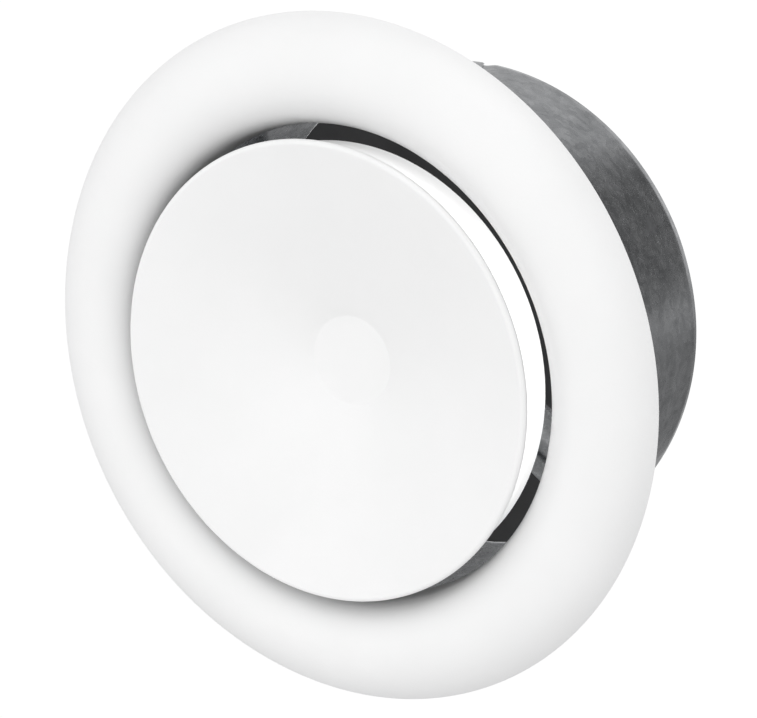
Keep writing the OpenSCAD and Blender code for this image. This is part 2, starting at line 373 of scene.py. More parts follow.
def material(name):
    mat = bpy.data.materials.new(name)
    mat.use_nodes = True
    return mat, Nodes(mat.node_tree)


# Painted shade in the ring's throat fades out between these radii.
THROAT_SHADE_FROM, THROAT_SHADE_TO = 0.0696, 0.0722  # radii in metres


def powder_coat(name, light, dark, throat=False):
    """White powder coat: fine orange peel, a faint tone change over the sheet and specks of dust.

    With throat, the coat is painted darker near the throat's radius: painted shade where the ring turns
    away into the gap by the disc.
    """
    mat, n = material(name)
    where = n.place()
    tone = n.fit(n.noise(where, 22.0, 3.0), 0.35, 0.65, 0.0, 1.0)
    dust = n.fit(n.noise(where, 2600.0, 2.0, 0.5), 0.72, 0.8, 0.0, 0.25)
    base = n.mix(tone, (*dark, 1), (*light, 1))
    base = n.mix(dust, base, (dark[0] * 0.93, dark[1] * 0.92, dark[2] * 0.9, 1))
    if throat:
        # painted shade: the coat darkens towards the throat's radius, where it starts made a little
        # uneven
        parts = n.add("SeparateXYZ", {"Vector": where})
        square = n.math("MULTIPLY", parts.outputs["X"], parts.outputs["X"])
        square = n.math("ADD", square, n.math("MULTIPLY", parts.outputs["Y"], parts.outputs["Y"]))
        uneven = n.math("MULTIPLY", n.noise(where, 90.0), 0.0006)
        reach = n.math("ADD", n.math("SQRT", square), uneven)
        grey = n.ramp(
            n.fit(reach, THROAT_SHADE_FROM, THROAT_SHADE_TO, 0.0, 1.0),
            [(0.0, (0.3,) * 3), (0.3, (0.75,) * 3), (0.65, (0.94,) * 3), (1.0, (1.0,) * 3)],
        )
        base = n.mix(1.0, base, grey, "MULTIPLY")
    gloss = n.fit(n.noise(where, 60.0, 5.0), 0.3, 0.7, 0.3, 0.4)
    peel = n.noise(where, 1100.0, 2.0, 0.45)
    grain = n.noise(where, 5200.0, 2.0, 0.5)
    bumps = n.bump(peel, 0.00006, 0.35)
    bumps = n.bump(grain, 0.00001, 0.25, bumps)
    n.surface(
        Base_Color=base, Roughness=gloss, Normal=bumps, IOR=1.48, Specular_IOR_Level=0.45
    )
    return mat


def galvanised(name, light, dark, streaks, rough_low, rough_high):
    """Galvanised sheet: fine zinc spangle, rolling streaks round the strip, dull patches."""
    mat, n = material(name)
    where = n.place()
    along = n.place((1.0, 1.0, 0.12))
    warp = n.add("TexNoise", {"Vector": where, "Scale": 160.0, "Detail": 3.0})
    bent = n.mix(0.012, where, warp.outputs["Color"])
    spangle = n.add("TexVoronoi", {"Vector": bent, "Scale": 420.0})
    facets = n.add("SeparateColor", {"Color": spangle.outputs["Color"]})
    cloud = n.noise(where, 95.0, 6.0, 0.62)
    streak = n.noise(along, streaks, 5.0, 0.6)
    tone = n.math("MULTIPLY", facets.outputs[0], 0.3)
    tone = n.math("ADD", tone, n.math("MULTIPLY", cloud, 0.9))
    tone = n.math("ADD", tone, n.math("MULTIPLY", streak, 0.55))
    tone = n.fit(tone, 0.55, 1.2, 0.0, 1.0)
    middle = tuple((a + b) / 2 for a, b in zip(dark, light))
    base = n.ramp(tone, [(0.0, dark), (0.55, middle), (1.0, light)])
    dull = n.fit(n.noise(where, 240.0, 5.0, 0.65), 0.3, 0.7, rough_low, rough_high)
    height = n.math("ADD", n.math("MULTIPLY", facets.outputs[1], 0.4), cloud)
    bumps = n.bump(height, 0.00012, 0.35)
    bumps = n.bump(n.noise(along, 900.0, 3.0), 0.00002, 0.4, bumps)
    n.surface(Base_Color=base, Metallic=1.0, Roughness=dull, Normal=bumps)
    return mat


def plated(name, light, dark, tint, rough_low, rough_high):
    """Turned and plated steel: fine machining lines about the axis, faint colour of the plating."""
    mat, n = material(name)
    where = n.place()
    lines = n.noise(n.place((1.0, 1.0, 9.0)), 700.0, 3.0, 0.5)
    patch = n.noise(where, 260.0, 5.0, 0.6)
    base = n.mix(n.fit(patch, 0.3, 0.7, 0.0, 1.0), (*dark, 1), (*light, 1))
    base = n.mix(n.fit(n.noise(where, 520.0, 3.0), 0.5, 0.75, 0.0, 0.35), base, (*tint, 1))
    dull = n.fit(lines, 0.3, 0.7, rough_low, rough_high)
    bumps = n.bump(lines, 0.00003, 0.4)
    bumps = n.bump(patch, 0.00004, 0.25, bumps)
    n.surface(Base_Color=base, Metallic=1.0, Roughness=dull, Normal=bumps)
    return mat


def foam(name, wall, cell_shade, scale, depth):
    """Foam: lighter walls round darker hollows, each a small pit; the darker hollows are painted shade.
    """
    mat, n = material(name)
    where = n.place()
    warp = n.add("TexNoise", {"Vector": where, "Scale": scale * 0.4, "Detail": 2.0})
    bent = n.mix(0.006, where, warp.outputs["Color"])
    cells = n.add("TexVoronoi", {"Vector": bent, "Scale": scale}, feature="DISTANCE_TO_EDGE")
    pit = n.fit(cells.outputs["Distance"], 0.0, 0.35, 0.0, 1.0)
    tone = n.noise(where, 60.0, 4.0)
    # painted shade: the colour darkens into each pit, with the bump's depth
    base = n.mix(pit, (*wall, 1), (*cell_shade, 1))
    base = n.mix(n.fit(tone, 0.3, 0.7, 0.0, 0.4), base, tuple(c * 1.5 for c in wall) + (1,))
    bumps = n.bump(pit, depth, 0.9)
    bumps.node.invert = True
    dull = n.fit(tone, 0.3, 0.7, 0.85, 0.97)
    n.surface(Base_Color=base, Roughness=dull, Normal=bumps, Specular_IOR_Level=0.25)
    return mat


COAT_LIGHT, COAT_DARK = (0.9, 0.9, 0.897), (0.878, 0.879, 0.875)
MATERIALS = {
    "white_powder_coat": powder_coat("powder_coat", COAT_LIGHT, COAT_DARK),
    "galvanised_steel": galvanised(
        "galvanised", (0.66, 0.67, 0.68), (0.34, 0.35, 0.36), 210.0, 0.17, 0.34
    ),
    "zinc_plated_steel": plated(
        "zinc_plate", (0.74, 0.745, 0.75), (0.58, 0.585, 0.6), (0.66, 0.66, 0.56), 0.18, 0.32
    ),
    "spring_steel": plated(
        "spring_steel", (0.34, 0.345, 0.36), (0.22, 0.225, 0.235), (0.3, 0.27, 0.22), 0.26, 0.42
    ),
    "rivet_aluminium": plated(
        "rivet_aluminium", (0.8, 0.8, 0.81), (0.68, 0.68, 0.69), (0.7, 0.7, 0.71), 0.28, 0.45
    ),
    "grey_foam": foam("gasket_foam", (0.13, 0.13, 0.137), (0.06, 0.06, 0.065), 1500.0, 0.00015),
    "damping_foam": foam("damping_foam", (0.09, 0.09, 0.1), (0.03, 0.03, 0.033), 800.0, 0.0004),
}
# the ring's coat, with painted shade in its throat
SHADED_RING_COAT = powder_coat("powder_coat_ring", COAT_LIGHT, COAT_DARK, throat=True)
SLOTS = {row["node"]: row["material_slot"] for row in frame["record"]["subparts"]}
BODIES = {n: b for b, ns in frame["record"]["behaviour"]["bodies"].items() for n in ns}


def finished(piece, node):
    """Gives the piece its node's finish and body, and hides the CAD node."""
    piece.data.materials.clear()
    piece.data.materials.append(MATERIALS[SLOTS[node]])
    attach(piece, BODIES[node])
    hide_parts(node)


# ---------------------------------------------------------------- outer ring

THROAT_R, RING_R, RING_LOW, RING_TOP = span("outer_ring")
RING_SHEET = 0.9
UPSTAND_GAP = 0.05
UPSTAND_R = span("spigot")[0] - UPSTAND_GAP - RING_SHEET
CREST_R = 83.0
THROAT_Z = 3.5
EDGE_Z = -0.1
DOME_R = ((RING_R - CREST_R) ** 2 + RING_LOW**2) / (2 * -RING_LOW)


def ring_path():
    """The room side of the ring: from its edge over the crest, into the throat and up the upstand."""
    dome_z = DOME_R + RING_LOW
    drop = dome_z - EDGE_Z
    edge = math.degrees(math.atan2(-drop, math.sqrt(DOME_R**2 - drop**2)))
    dome = arc((CREST_R, dome_z), DOME_R, DOME_R, edge, -90, 36)
    throat = arc(
        (CREST_R, THROAT_Z), CREST_R - THROAT_R, THROAT_Z - RING_LOW, -92.5, -180, 35
    )
    back = RING_TOP - 3
    upstand = UPSTAND_R + RING_SHEET
    tail = rounded(
        [(THROAT_R, THROAT_Z), (THROAT_R, back), (upstand, back), (upstand, RING_TOP)],
        [0, 0.8, 1.0, 0],
    )
    return dome + throat + tail[1:]


ring = make("outer_ring_dome", lathe(sheet(ring_path(), -RING_SHEET, 0.3), 360))
finished(ring, "outer_ring")
ring.data.materials[0] = SHADED_RING_COAT

# ---------------------------------------------------------------- spigot

SPIGOT_IN, SPIGOT_R, SPIGOT_LOW, SPIGOT_TOP = span("spigot")
WELD_COUNT = 12
WELD_Z = SPIGOT_LOW + 1.5
WELD_DENT = 0.3


def spigot_loop(a):
    """The wall's section, with a spot weld's dimple where the angle has one."""
    pitch_a = TAU / WELD_COUNT
    off = ((a + pitch_a / 2) % pitch_a - pitch_a / 2) * SPIGOT_R
    rows = [SPIGOT_LOW + 0.25 * i for i in range(1, 14)]
    rows += [SPIGOT_LOW + 3.5 + (SPIGOT_TOP - SPIGOT_LOW - 3.8) * i / 14 for i in range(15)]

    def dent(z):
        return WELD_DENT * math.exp(-(off * off + (z - WELD_Z) ** 2) / 1.1)

    wave = rough(math.cos(a) * 60, math.sin(a) * 60, 0, 40, 0.06)
    outside = [(SPIGOT_R - 0.06 + wave * 0.5 - dent(z), z) for z in rows]
    inside = [(SPIGOT_IN + 0.04 + wave * 0.5 - 0.6 * dent(z), z) for z in rows[::-1]]
    return outside + cap(outside[-1], inside[0], 0.25) + inside + cap(inside[-1], outside[0], 0.25)


spigot = make("spigot_wall", turned(spigot_loop, 720))
finished(spigot, "spigot")

# ---------------------------------------------------------------- collar

COLLAR_R, COLLAR_TOP = span("collar")[1], span("collar")[3]
COLLAR_SHEET = 0.75
SEAM_ANGLE = math.radians(72)
SEAM_SLANT = math.tan(math.radians(25))
SEAM_LAP = 12 / COLLAR_R
SEAM_WELD_PITCH = 12
SEAM_WELD_DENT = 0.28
TAPER_H = 3.5
TAPER_STEP = 0.5
SLOT_R = 2.5
SLOT_FROM, SLOT_TO = 74, 85
TWIST = math.radians(20)
PIN_ANGLES = [math.radians(30 + 120 * i) for i in range(3)]
PIN_Z = 14.5


def seam_at(z):
    return SEAM_ANGLE - (z - COLLAR_TOP / 2) * SEAM_SLANT / COLLAR_R


def collar_part():
    """One strip of sheet, rolled from its end under the seam right round to its end over the seam."""
    fine = math.radians(0.35)
    turns = [-SEAM_LAP + 0.0015]
    while turns[-1] < math.radians(8):
        turns.append(turns[-1] + fine)
    while turns[-1] < TAU - SEAM_LAP - math.radians(4):
        turns.append(turns[-1] + math.radians(1.25))
    last = turns[-1]
    steps = int((TAU - last) / fine)
    turns += [last + (TAU - last) * (i + 1) / steps for i in range(steps)]
    rows = [0.25 + (COLLAR_TOP - TAPER_H - 0.5) * i / 40 for i in range(41)]
    rows += [COLLAR_TOP - TAPER_H + 0.2 + (TAPER_H - 0.45) * i / 4 for i in range(5)]

    def outer(u, z):
        r = COLLAR_R - 0.03
        r -= (COLLAR_SHEET + 0.03) * (1 - smooth((u - 0.004) / math.radians(3.2)))
        r -= TAPER_STEP * max(0.0, (z - COLLAR_TOP + TAPER_H) / TAPER_H)
        a = seam_at(z) + u
        r -= abs(rough(math.cos(a) * 80, math.sin(a) * 80, z * 0.7, 30, 0.1))
        if u > TAU - SEAM_LAP:
            along = (z - 8) / SEAM_WELD_PITCH
            near = (along - round(along)) * SEAM_WELD_PITCH
            side = (u - TAU + SEAM_LAP / 2) * COLLAR_R
            r -= SEAM_WELD_DENT * math.exp(-(side * side + near * near) / 2.2)
        return r

    rings = []
    for i, u in enumerate(turns):
        pull = 0.0
        if i in (0, len(turns) - 1):
            pull = 0.22
        front = [(outer(u, z) - pull, z) for z in rows]
        back = [(outer(u, z) - COLLAR_SHEET + pull, z) for z in rows[::-1]]
        loop = front + cap(front[-1], back[0], 0.25) + back + cap(back[-1], front[0], 0.25)
        ring_points = []
        for r, z in loop:
            a = seam_at(z) + u
            ring_points.append((r * math.cos(a), r * math.sin(a), z))
        rings.append(ring_points)
    points, faces = swept(rings, ends=False)
    n = len(rings[0])
    half_rows = len(rows)
    for base in (0, (len(rings) - 1) * n):
        top_cap = [base + k for k in range(half_rows - 1, half_rows + 5)]
        low_cap = [base + k for k in range(2 * half_rows + 3, n)] + [base]
        for k in range(half_rows - 1):
            across = base + 2 * half_rows + 3 - k
            faces.append((base + k, base + k + 1, across - 1, across))
        faces.append(tuple(top_cap))
        faces.append(tuple(low_cap))
    return points, faces


def slot_part(angle):
    """What one L-shaped bayonet slot takes out of the collar and its flange."""
    half = SLOT_R / COLLAR_R
    free = angle - TWIST
    outline = [
        (free - half, -3), (free + half, -3), (free + half, PIN_Z - SLOT_R),
        (angle + half, PIN_Z - SLOT_R), (angle + half, PIN_Z + SLOT_R), (free - half, PIN_Z + SLOT_R),
    ]
    flat = [(a * COLLAR_R, z) for a, z in outline]
    flat = rounded(flat, [0, 0, 1.0, 2.2, 2.2, 2.2], 6, True)
    low, high = [], []
    for s, z in flat:
        a = s / COLLAR_R
        low.append((SLOT_FROM * math.cos(a), SLOT_FROM * math.sin(a), z))
        high.append((SLOT_TO * math.cos(a), SLOT_TO * math.sin(a), z))
    n = len(flat)
    faces = [(k, (k + 1) % n, n + (k + 1) % n, n + k) for k in range(n)]
    faces += [tuple(range(n)), tuple(range(n, 2 * n))]
    return low + high, faces


collar = make("collar_sheet", collar_part(), 40)
for pin_angle in PIN_ANGLES:
    cut(collar, slot_part(pin_angle), 40)
finished(collar, "collar")

# ---------------------------------------------------------------- ceiling flange

FLANGE_IN, FLANGE_R, FLANGE_LOW, FLANGE_TOP = span("ceiling_flange")
HOLE_R = 2.1
HOLES_AT = 84
flange_loop = rounded(
    [(FLANGE_IN, FLANGE_LOW), (FLANGE_R, FLANGE_LOW), (FLANGE_R, FLANGE_TOP), (FLANGE_IN, FLANGE_TOP)],
    [0.65, 0.25, 0.25, 0.05],
    5,
    True,
)
flange = make("ceiling_flange_plate", lathe(flange_loop))
hole = lathe(
    [
        (0, FLANGE_LOW - 1), (HOLE_R + 0.4, FLANGE_LOW - 1), (HOLE_R + 0.4, FLANGE_LOW + 0.02),
        (HOLE_R, FLANGE_LOW + 0.3), (HOLE_R, FLANGE_TOP + 1), (0, FLANGE_TOP + 1),
    ],
    48,
)
for i in range(3):
    a = math.radians(90 + 120 * i)
    cut(flange, moved(hole, Matrix.Rotation(a, 4, "Z") @ Matrix.Translation((HOLES_AT, 0, 0))))
for pin_angle in PIN_ANGLES:
    cut(flange, slot_part(pin_angle))
finished(flange, "ceiling_flange")

# ---------------------------------------------------------------- foam gasket


GASKET_IN, GASKET_OUT = 90.05, 96.95


def gasket_loop(a):
    """The strip's section, uneven where the cells are cut."""
    inner = DOME_R - RING_SHEET - 0.1
    centre = DOME_R + RING_LOW
    radii = [GASKET_IN + 0.35 + 6.2 * i / 10 for i in range(11)]
    low = [(r, centre - math.sqrt(inner * inner - (r - CREST_R) ** 2)) for r in radii]
    top = [(r, -0.12) for r in radii[::-1]]
    loop = low + [(GASKET_OUT, low[-1][1] + 0.35), (GASKET_OUT, -0.5)] + top
    loop += [(GASKET_IN, -0.6), (GASKET_IN, low[0][1] + 0.8)]
    out = []
    for r, z in loop:
        x, y = r * math.cos(a), r * math.sin(a)
        d = rough(x, y, z, 1.6, 0.1) + rough(x, y, z, 6, 0.06)
        inward = 0.1 + abs(d)
        r = min(max(r, GASKET_IN + inward * 0.5), GASKET_OUT - inward * 0.5)
        out.append((r, min(z + d * 0.3, -0.02)))
    return out


gasket = make("ring_gasket_foam", turned(gasket_loop, 720), 50)
finished(gasket, "ring_gasket")

# ---------------------------------------------------------------- rivets and pins


def domed_rivet(grip):
    """A blind rivet through a grip of sheets whose outer face is at z = 0, with its mandrel's dimple."""
    shank, head, height = 1.58, 3.15, 0.8
    dome = arc((0.0, 0.05), head, height - 0.05, 0, 72, 9)
    outline = [(0, -grip - height), (0.7, -grip - height), (head * 0.8, -grip - height * 0.55)]
    outline += [(head * 0.86, -grip - 0.25), (head * 0.8, -grip), (shank, -grip), (shank, 0)]
    outline += [(head - 0.1, 0), (head, 0.05)] + dome[1:]
    outline += [(0.62, height * 0.93), (0.5, height * 0.6), (0, height * 0.55)]
    return lathe(outline, 40)


BRIDGE_GRIP = 2.85
RIVET_Y = 5.4
spread = math.asin(RIVET_Y / SPIGOT_R)
RIVET_Z = (span("bridge_rivets")[2] + span("bridge_rivets")[3]) / 2
rivets = joined(
    *[
        moved(domed_rivet(BRIDGE_GRIP), on_wall(side + step * spread, SPIGOT_R, RIVET_Z))
        for side in (0, math.pi)
        for step in (-1, 1)
    ]
)
finished(make("bridge_rivet_set", rivets), "bridge_rivets")

TIP_R = span("bayonet_pins")[1]
length = TIP_R - SPIGOT_IN
pin_outline = [(0, -1.15), (2.6, -1.15), (3.35, -0.8), (3.45, -0.4), (3.4, 0), (2.2, 0)]
pin_outline += [(2.2, length - 0.55), (2.05, length - 0.28), (1.7, length - 0.08), (0.9, length - 0.05)]
pin_outline += [(0, length - 0.12)]
pins = joined(*[moved(lathe(pin_outline, 40), on_wall(a, SPIGOT_IN, PIN_Z)) for a in PIN_ANGLES])
finished(make("bayonet_pin_set", pins), "bayonet_pins")

# ---------------------------------------------------------------- bridge

BRIDGE_LOW, BRIDGE_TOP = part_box("bridge")[0].z / MM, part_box("bridge")[1].z / MM
BRIDGE_HALF_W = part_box("bridge")[1].y / MM
BRIDGE_R = span("bridge")[1]
BRIDGE_SHEET = 2.0
BRIDGE_BEND = 4.5
BRIDGE_HOLE_R = 4.3


def bridge_ring(y, inset):
    """The strip's outline across the valve at one distance from the middle of its width."""
    reach = math.sqrt(BRIDGE_R**2 - y * y) - 0.03
    top = BRIDGE_TOP - 0.02 - inset
    leg_low = BRIDGE_LOW + 0.02 + inset

    def rib(x):
        ends = smooth((abs(x) - 13) / 4) * smooth((reach - 9 - abs(x)) / 4)
        return -1.0 * ends * math.exp(-((y / 3.1) ** 4))

    def line(r, high, bend):
        xs = [(r - bend) * i / 32 for i in range(33)]
        side = [(x, high + rib(x)) for x in xs]
        side += [(x, z) for x, z in arc((r - bend, high - bend), bend, bend, 90, 0, 8)][1:]
        side += [(r, high - bend + (leg_low - high + bend) * i / 4) for i in range(1, 5)]
        return [(-x, z) for x, z in side[:0:-1]] + side

    outer = line(reach - inset, top, BRIDGE_BEND)
    under = top - BRIDGE_SHEET + 2 * inset
    inner = line(reach - BRIDGE_SHEET + inset, under, BRIDGE_BEND - BRIDGE_SHEET)
    return [(x, y, z) for x, z in outer] + [(x, y, z) for x, z in inner[::-1]]


half_w = BRIDGE_HALF_W
edge_steps, edge_insets = [0.01, 0.15, 0.4], [0.22, 0.06, 0.0]
across = [-half_w + step for step in edge_steps]
across += [-half_w + 1 + (2 * half_w - 2) * i / 24 for i in range(25)]
across += [half_w - step for step in edge_steps[::-1]]
insets = edge_insets + [0.0] * 25 + edge_insets[::-1]
bridge = make("bridge_strip", swept([bridge_ring(y, i) for y, i in zip(across, insets)]))
hole_low, hole_high = BRIDGE_TOP - 8, BRIDGE_TOP + 2
spindle_hole = [(0, hole_low), (BRIDGE_HOLE_R, hole_low), (BRIDGE_HOLE_R, hole_high), (0, hole_high)]
cut(bridge, lathe(spindle_hole, 48))
finished(bridge, "bridge")

# ---------------------------------------------------------------- nuts and washers


NUT_FLATS = 13.0
NUT_BORE_R = 4.06


def hex_nut(low, high):
    """A hexagon nut with 30 degree chamfers and a countersunk bore, corners on the X axis."""
    chamfer_r = NUT_FLATS / 2 * 0.985

    def loop(a):
        off = (a + math.pi / 6) % (math.pi / 3) - math.pi / 6
        across_r = (NUT_FLATS / 2) / math.cos(math.pi / 6 - abs(off)) - 0.02
        drop = max(across_r - chamfer_r, 0.02) * math.tan(math.radians(30))
        low_half = [(NUT_BORE_R, low + 0.55), (NUT_BORE_R + 0.5, low + 0.03), (NUT_BORE_R + 0.62, low)]
        low_half += [(chamfer_r, low), (across_r - 0.02, low + drop), (across_r, low + drop + 0.1)]
        high_half = [(r, low + high - z) for r, z in low_half[::-1]]
        return low_half + high_half

    return turned(loop, 72)


for nut in ("bridge_nut", "lock_nut", "inner_nut", "hub_nut"):
    low_z, high_z = span(nut)[2:]
    finished(make(nut + "_hex", hex_nut(low_z, high_z), 25), nut)


def washer(low, high, inner, outer):
    """A blanked washer: rounded on the side it was punched from, a small burr's edge on the other."""
    loop = [(inner + 0.02, low + 0.01), (outer, low + 0.01), (outer, high), (inner + 0.02, high)]
    return rounded(loop, [0.12, 0.12, 0.4, 0.3], 5, True)


for name in ("lock_washer", "stop_washer", "hub_washer"):
    in_r, out_r, low_z, high_z = span(name)
    finished(make(name + "_ring", lathe(washer(low_z, high_z, in_r, out_r), 128)), name)

in_r, out_r, low_z, high_z = span("lock_spring_washer")
gap = 0.75 / ((in_r + out_r) / 2) + 0.03
low_z += 0.06
high_z -= 0.06
section = rounded([(in_r, low_z), (out_r, low_z), (out_r, high_z), (in_r, high_z)], 0.25, 3, True)
SPRING_STEPS = 120
SPRING_LIFT = 0.05
spring_rings = []
for i in range(SPRING_STEPS + 1):
    a = gap + (TAU - 2 * gap) * i / SPRING_STEPS
    lift = SPRING_LIFT * (2 * i / SPRING_STEPS - 1)
    spring_rings.append([(r * math.cos(a), r * math.sin(a), z + lift) for r, z in section])
finished(make("lock_spring_coil", swept(spring_rings)), "lock_spring_washer")

# ---------------------------------------------------------------- disc

RIM_TRIM = 0.6  # the rim as it is seen is smaller than the CAD solid's by this
RIM_R, RIM_LOW = span("disc_face")[1] - RIM_TRIM, span("disc_face")[2]
FLOOR_R = 12.8
FLOOR_Z = RIM_LOW + 19.8
DISC_SHEET = 0.9
BEAD_R = 1.2


def dish_path():
    """The room side of the dish: a flat floor, a tight corner, a cone that eases off, a rolled rim."""
    steep, shallow = math.radians(29), math.radians(17.5)
    corner_r = 1.6
    corner = arc((FLOOR_R, FLOOR_Z - corner_r), corner_r, corner_r, 90, 90 - math.degrees(steep), 7)
    bead = (RIM_R - BEAD_R, RIM_LOW + BEAD_R)
    meet = (bead[0] - BEAD_R * math.sin(shallow), bead[1] - BEAD_R * math.cos(shallow))
    a = corner[-1]
    reach = 17.0
    slope = bezier(
        a,
        (a[0] + 5.5 * math.cos(steep), a[1] - 5.5 * math.sin(steep)),
        (meet[0] - reach * math.cos(shallow), meet[1] + reach * math.sin(shallow)),
        meet,
        40,
    )
    rim = arc(bead, BEAD_R, BEAD_R, 270 - math.degrees(shallow), 440, 24)
    floor = [(0, FLOOR_Z), (FLOOR_R * 0.5, FLOOR_Z), (FLOOR_R * 0.9, FLOOR_Z)]
    return floor + corner + slope[1:] + rim[1:]


dish = dish_path()
disc_loop = sheet(dish, DISC_SHEET, 0.3, first_edge=False)
disc = make("disc_face_dish", lathe(disc_loop, 360))
finished(disc, "disc_face")

SHELL_TOP = span("disc_back_shell")[3]
SHELL_SHOULDER = SHELL_TOP - 10.9
shell_path = rounded(
    [
        (64.7, RIM_LOW + 1.55), (64.0, SHELL_SHOULDER), (52, SHELL_SHOULDER),
        (22, SHELL_TOP), (4.3, SHELL_TOP),
    ],
    [0, 1.6, 6.0, 5.0, 0],
    8,
)
shell = make("disc_shell_back", lathe(sheet(shell_path, DISC_SHEET, 0.25), 360))
finished(shell, "disc_back_shell")
shell.visible_diffuse = False


def dish_back_z(r):
    """Height of the dish's upper side at radius r."""
    back = beside(dish, DISC_SHEET)
    for p, q in zip(back, back[1:]):
        if p[0] <= r <= q[0]:
            return p[1] + (q[1] - p[1]) * (r - p[0]) / (q[0] - p[0])
    return back[-1][1]


PAD_IN, PAD_R, PAD_H = 25.3, 58.7, 7.9
pad_rows = [PAD_IN + (PAD_R - PAD_IN) * i / 24 for i in range(25)]
pad_low = [(r, dish_back_z(r) + 0.05) for r in pad_rows]
pad_top = [(r, z + PAD_H) for r, z in pad_low[::-1]]
pad_outline = pad_low + [(PAD_R + 0.2, pad_low[-1][1] + 1 + i * 1.2) for i in range(6)] + pad_top
pad_outline += [(PAD_IN - 0.2, pad_low[0][1] + 7 - i * 1.2) for i in range(6)]


def pad_loop(a):
    """The pad's section, with the hollows of its open cells."""
    out = []
    for r, z in pad_outline:
        x, y = r * math.cos(a), r * math.sin(a)
        d = abs(rough(x, y, z, 2.2, 0.35)) + abs(rough(x, y, z, 9, 0.25))
        middle = dish_back_z(min(max(r, PAD_IN), PAD_R)) + 4
        out.append((r - d * 0.3, z + d if z < middle else z - d))
    return out


pad = make("damping_pad_foam", turned(pad_loop, 360), 50)
finished(pad, "damping_pad")

in_r, out_r, low_z, high_z = span("hub_plate")
plate_loop = rounded([(in_r, low_z), (out_r, low_z), (out_r, high_z), (in_r, high_z)], 0.3, 4, True)
finished(make("hub_plate_disc", lathe(plate_loop, 128)), "hub_plate")

HUB_Z = SHELL_TOP
HUB_RIVETS_AT = 14
hub_grip = HUB_Z - span("hub_plate")[2]
hub_rivet = moved(domed_rivet(hub_grip), Matrix.Translation((HUB_RIVETS_AT, 0, HUB_Z)))
hub_rivets = joined(
    *[moved(hub_rivet, Matrix.Rotation(math.radians(45 + 90 * i), 4, "Z")) for i in range(4)]
)
finished(make("hub_rivet_set", hub_rivets), "hub_rivets")

# ---------------------------------------------------------------- spindle and split pin

SPINDLE_R, SPINDLE_LOW, SPINDLE_TOP = span("spindle")[1:]
PITCH = 1.25
THREAD_DEPTH = 0.613 * PITCH


def thread_depth(phase):
    """How far the thread is cut at this part of its pitch: crest, flank, root, flank."""
    p = phase % 1.0
    p = min(p, 1 - p)
    return THREAD_DEPTH * min(max((p - 0.0625) / 0.3125, 0.0), 1.0)


def spindle_part():
    around, per_pitch = 48, 16
    rows = int((SPINDLE_TOP - SPINDLE_LOW) / PITCH * per_pitch)
    heights = [SPINDLE_LOW + (SPINDLE_TOP - SPINDLE_LOW) * i / rows for i in range(rows + 1)]
    rings = []
    for z in heights:
        ring_points = []
        for k in range(around):
            a = TAU * k / around
            end = min(z - SPINDLE_LOW, SPINDLE_TOP - z)
            r = SPINDLE_R - 0.02 - thread_depth(z / PITCH - k / around)
            r = min(r, SPINDLE_R - 0.9 + end)
            ring_points.append((r * math.cos(a), r * math.sin(a), z))
        rings.append(ring_points)
    points = [p for ring_points in rings for p in ring_points]
    faces = []
    for i in range(rows):
        for k in range(around):
            m = (k + 1) % around
            faces.append((i * around + k, i * around + m, (i + 1) * around + m, (i + 1) * around + k))
    for base, z in ((0, SPINDLE_LOW), (rows * around, SPINDLE_TOP)):
        points.append((0, 0, z))
        faces += [(base + k, base + (k + 1) % around, len(points) - 1) for k in range(around)]
    return points, faces


finished(make("spindle_thread", spindle_part(), 28), "spindle")

WIRE_R = 0.93
WIRE_Z = (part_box("split_pin")[0].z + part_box("split_pin")[1].z) / 2 / MM
EYE_X = -11.0
EYE_R = 2.0
LEG_X = 8.05


def split_pin_part():
    """Half-round wire: in along one leg, round the eye and out along the other, with both ends bent."""
    gap = 0.02
    legs = [
        rounded([(LEG_X, side * 2.45), (LEG_X, side * gap), (EYE_X + 2.6, side * gap)], [0, 0.9, 0], 6)
        for side in (1, -1)
    ]
    eye_start = math.asin(0.25 / EYE_R)
    eye = [
        (EYE_X + EYE_R * math.cos(a), EYE_R * math.sin(a))
        for a in [eye_start + (TAU - 2 * eye_start) * i / 40 for i in range(41)]
    ]
    path = legs[0] + eye[2:-2] + legs[1][::-1]
    rings = []
    last = len(path) - 1
    for i, p in enumerate(path):
        before = Vector(path[max(i - 1, 0)])
        after = Vector(path[min(i + 1, last)])
        d = (after - before).normalized()
        out_of = Vector((d.y, -d.x))
        shrink = 0.8 if i in (0, last) else 1.0
        ring_points = []
        for k in range(13):
            t = math.pi * k / 12
            side = out_of * math.sin(t) * WIRE_R * shrink
            ring_points.append((p[0] + side.x, p[1] + side.y, WIRE_Z + WIRE_R * shrink * math.cos(t)))
        ring_points.append((p[0], p[1], WIRE_Z - WIRE_R * shrink * 0.9))
        rings.append(ring_points)
    return swept(rings)


finished(make("split_pin_wire", split_pin_part(), 45), "split_pin")

# ---------------------------------------------------------------- camera


def camera():
    """Looks up at the valve from below, leaning over. Its place is set by where it sees the origin."""
    azimuth, elevation, lean = (math.radians(angle) for angle in (295.3, 53.87, 65.31))
    look = Vector(
        (
            math.cos(elevation) * math.cos(azimuth),
            math.cos(elevation) * math.sin(azimuth),
            math.sin(elevation),
        )
    )
    level = look.cross(Vector((0, 0, 1))).normalized()
    above = level.cross(look)
    right = level * math.cos(lean) + above * math.sin(lean)
    up = above * math.cos(lean) - level * math.sin(lean)
    origin_seen = Vector((-0.01345, 0.00294, 0.48174))
    place = -(right * origin_seen.x - up * origin_seen.y + look * origin_seen.z)
    data = bpy.data.cameras.new("camera")
    data.lens = 80.85
    data.sensor_width = 36
    data.clip_start = 0.01
    data.clip_end = 50
    cam = bpy.data.objects.new("camera", data)
    cam.matrix_world = Matrix(
        (
            (right.x, up.x, -look.x, place.x),
            (right.y, up.y, -look.y, place.y),
            (right.z, up.z, -look.z, place.z),
            (0, 0, 0, 1),
        )
    )
    bpy.context.scene.collection.objects.link(cam)
    bpy.context.scene.camera = cam
    return right, up, look


cam_right, cam_up, cam_look = camera()

# ---------------------------------------------------------------- floor and light


